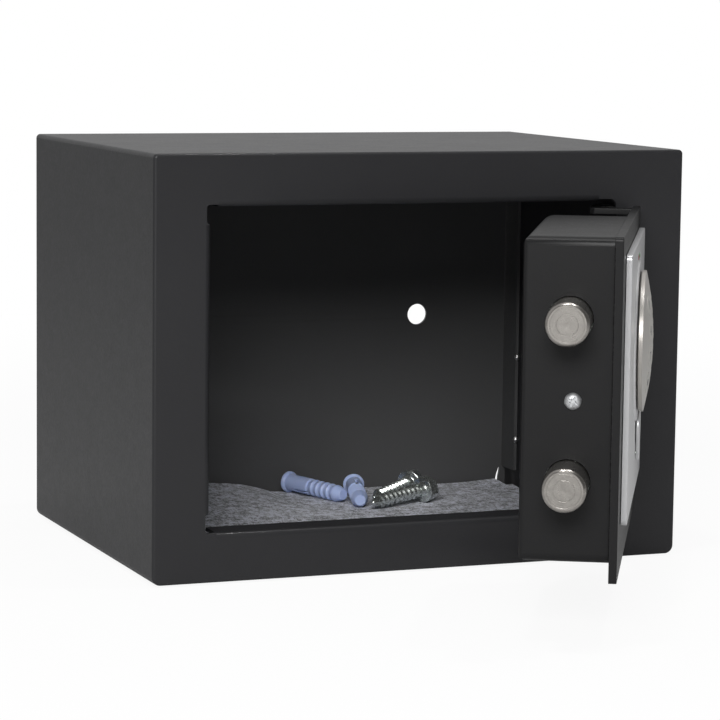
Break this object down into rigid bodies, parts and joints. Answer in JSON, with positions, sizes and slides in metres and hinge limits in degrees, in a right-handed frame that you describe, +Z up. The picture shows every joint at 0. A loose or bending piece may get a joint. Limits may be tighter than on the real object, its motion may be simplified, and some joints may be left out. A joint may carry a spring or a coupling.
{
  "type": "furniture safe",
  "caption": "Small steel furniture safe with its door open on thrown bolts, turning keypad knob, key override and a box-shaped lock housing behind the door.",
  "frame": {"origin": "under the middle of the steel body, on the plane that it stands on", "axes": "+X to the right seen from the front, +Y from the front to the back, +Z up; the door is hinged on the right and stands open towards -Y"},
  "size_m": [0.23, 0.3326, 0.17],
  "materials": {
    "charcoal_paint": "satin charcoal powder coat",
    "door_paint": "satin charcoal powder coat",
    "grey_mat": "mottled grey needle felt",
    "silver_panel": "satin silver lacquer",
    "silver_knob": "warm satin silver lacquer",
    "bolt_steel": "turned steel, dull",
    "zinc_steel": "bright zinc plate",
    "dark_steel": "plain dark steel",
    "lock_brass": "satin brass",
    "black_plastic": "matt black",
    "board_green": "solder mask green",
    "cell_sleeve": "plain sleeve",
    "key_rubber": "matt pale warm grey",
    "red_lens": "clear red",
    "green_lens": "clear green",
    "plug_plastic": "pale blue nylon"
  },
  "bodies": {
    "body": {"body_shell": "charcoal_paint", "back_panel": "charcoal_paint", "floor_mat": "grey_mat", "hinge_bracket_top": "charcoal_paint", "hinge_bracket_bottom": "charcoal_paint", "hinge_pin_top": "dark_steel", "hinge_pin_bottom": "dark_steel", "wall_plug_1": "plug_plastic", "wall_plug_2": "plug_plastic", "lag_screw_1": "zinc_steel", "lag_screw_2": "zinc_steel"},
    "door": {"door_plate": "door_paint", "lock_housing": "door_paint", "bolt_guide": "zinc_steel", "housing_tab": "zinc_steel", "hinge_arm_top": "door_paint", "hinge_arm_bottom": "door_paint", "housing_screw_near": "zinc_steel", "housing_screw_far": "zinc_steel", "control_panel": "silver_panel", "lamp_red": "red_lens", "lamp_green": "green_lens", "lock_body": "zinc_steel", "cover_pin": "zinc_steel", "solenoid_bracket": "zinc_steel", "solenoid_coil": "black_plastic", "circuit_board": "board_green", "battery_box": "black_plastic", "cell_1": "cell_sleeve", "cell_2": "cell_sleeve", "cell_3": "cell_sleeve", "cell_4": "cell_sleeve", "battery_door": "black_plastic"},
    "knob": {"knob_disc": "silver_knob", "knob_spindle": "dark_steel", "crank": "dark_steel"},
    "bolts": {"bolt_bar": "zinc_steel", "bolt_upper": "bolt_steel", "bolt_lower": "bolt_steel"},
    "plug": {"lock_plug": "lock_brass"},
    "cover": {"key_cover": "silver_panel"},
    "plunger": {"latch_plunger": "zinc_steel"},
    "reset": {"reset_button": "black_plastic"},
    "key_01": {"key_01": "key_rubber"},
    "key_02": {"key_02": "key_rubber"},
    "key_03": {"key_03": "key_rubber"},
    "key_04": {"key_04": "key_rubber"},
    "key_05": {"key_05": "key_rubber"},
    "key_06": {"key_06": "key_rubber"},
    "key_07": {"key_07": "key_rubber"},
    "key_08": {"key_08": "key_rubber"},
    "key_09": {"key_09": "key_rubber"},
    "key_10": {"key_10": "key_rubber"},
    "key_11": {"key_11": "key_rubber"},
    "key_12": {"key_12": "key_rubber"}
  },
  "joints": [
    {"name": "door_hinge", "type": "hinge", "parent": "body", "child": "door", "pos_m": [0.092, -0.0785, 0.085], "axis": [0, 0, 1], "range_deg": [-61, 49]},
    {"name": "knob_turn", "type": "hinge", "parent": "door", "child": "knob", "pos_m": [0.0526, -0.16299, 0.101], "axis": [-0.8746, 0.4848, 0], "range_deg": [0, 90]},
    {"name": "bolt_slide", "type": "slide", "parent": "door", "child": "bolts", "axis": [0.4848, 0.8746, 0], "range_m": [0, 0.018]},
    {"name": "lock_turn", "type": "hinge", "parent": "door", "child": "plug", "pos_m": [0.05842, -0.15249, 0.066], "axis": [-0.8746, 0.4848, 0], "range_deg": [-35, 0]},
    {"name": "cover_swing", "type": "hinge", "parent": "door", "child": "cover", "pos_m": [0.05842, -0.15249, 0.0555], "axis": [-0.8746, 0.4848, 0], "range_deg": [0, 120]},
    {"name": "latch_slide", "type": "slide", "parent": "door", "child": "plunger", "axis": [0, 0, 1], "range_m": [0, 0.005]},
    {"name": "reset_press", "type": "slide", "parent": "door", "child": "reset", "axis": [0.8746, -0.4848, 0], "range_m": [0, 0.001], "stiffness_N_per_m": 500},
    {"name": "key_01_press", "type": "slide", "parent": "knob", "child": "key_01", "axis": [-0.8746, 0.4848, 0], "range_m": [0, 0.0008], "stiffness_N_per_m": 400},
    {"name": "key_02_press", "type": "slide", "parent": "knob", "child": "key_02", "axis": [-0.8746, 0.4848, 0], "range_m": [0, 0.0008], "stiffness_N_per_m": 400},
    {"name": "key_03_press", "type": "slide", "parent": "knob", "child": "key_03", "axis": [-0.8746, 0.4848, 0], "range_m": [0, 0.0008], "stiffness_N_per_m": 400},
    {"name": "key_04_press", "type": "slide", "parent": "knob", "child": "key_04", "axis": [-0.8746, 0.4848, 0], "range_m": [0, 0.0008], "stiffness_N_per_m": 400},
    {"name": "key_05_press", "type": "slide", "parent": "knob", "child": "key_05", "axis": [-0.8746, 0.4848, 0], "range_m": [0, 0.0008], "stiffness_N_per_m": 400},
    {"name": "key_06_press", "type": "slide", "parent": "knob", "child": "key_06", "axis": [-0.8746, 0.4848, 0], "range_m": [0, 0.0008], "stiffness_N_per_m": 400},
    {"name": "key_07_press", "type": "slide", "parent": "knob", "child": "key_07", "axis": [-0.8746, 0.4848, 0], "range_m": [0, 0.0008], "stiffness_N_per_m": 400},
    {"name": "key_08_press", "type": "slide", "parent": "knob", "child": "key_08", "axis": [-0.8746, 0.4848, 0], "range_m": [0, 0.0008], "stiffness_N_per_m": 400},
    {"name": "key_09_press", "type": "slide", "parent": "knob", "child": "key_09", "axis": [-0.8746, 0.4848, 0], "range_m": [0, 0.0008], "stiffness_N_per_m": 400},
    {"name": "key_10_press", "type": "slide", "parent": "knob", "child": "key_10", "axis": [-0.8746, 0.4848, 0], "range_m": [0, 0.0008], "stiffness_N_per_m": 400},
    {"name": "key_11_press", "type": "slide", "parent": "knob", "child": "key_11", "axis": [-0.8746, 0.4848, 0], "range_m": [0, 0.0008], "stiffness_N_per_m": 400},
    {"name": "key_12_press", "type": "slide", "parent": "knob", "child": "key_12", "axis": [-0.8746, 0.4848, 0], "range_m": [0, 0.0008], "stiffness_N_per_m": 400}
  ],
  "couplings": [
    {"joint": "knob_turn", "follows": "bolt_slide", "rad_per_m": 87.26}
  ]
}
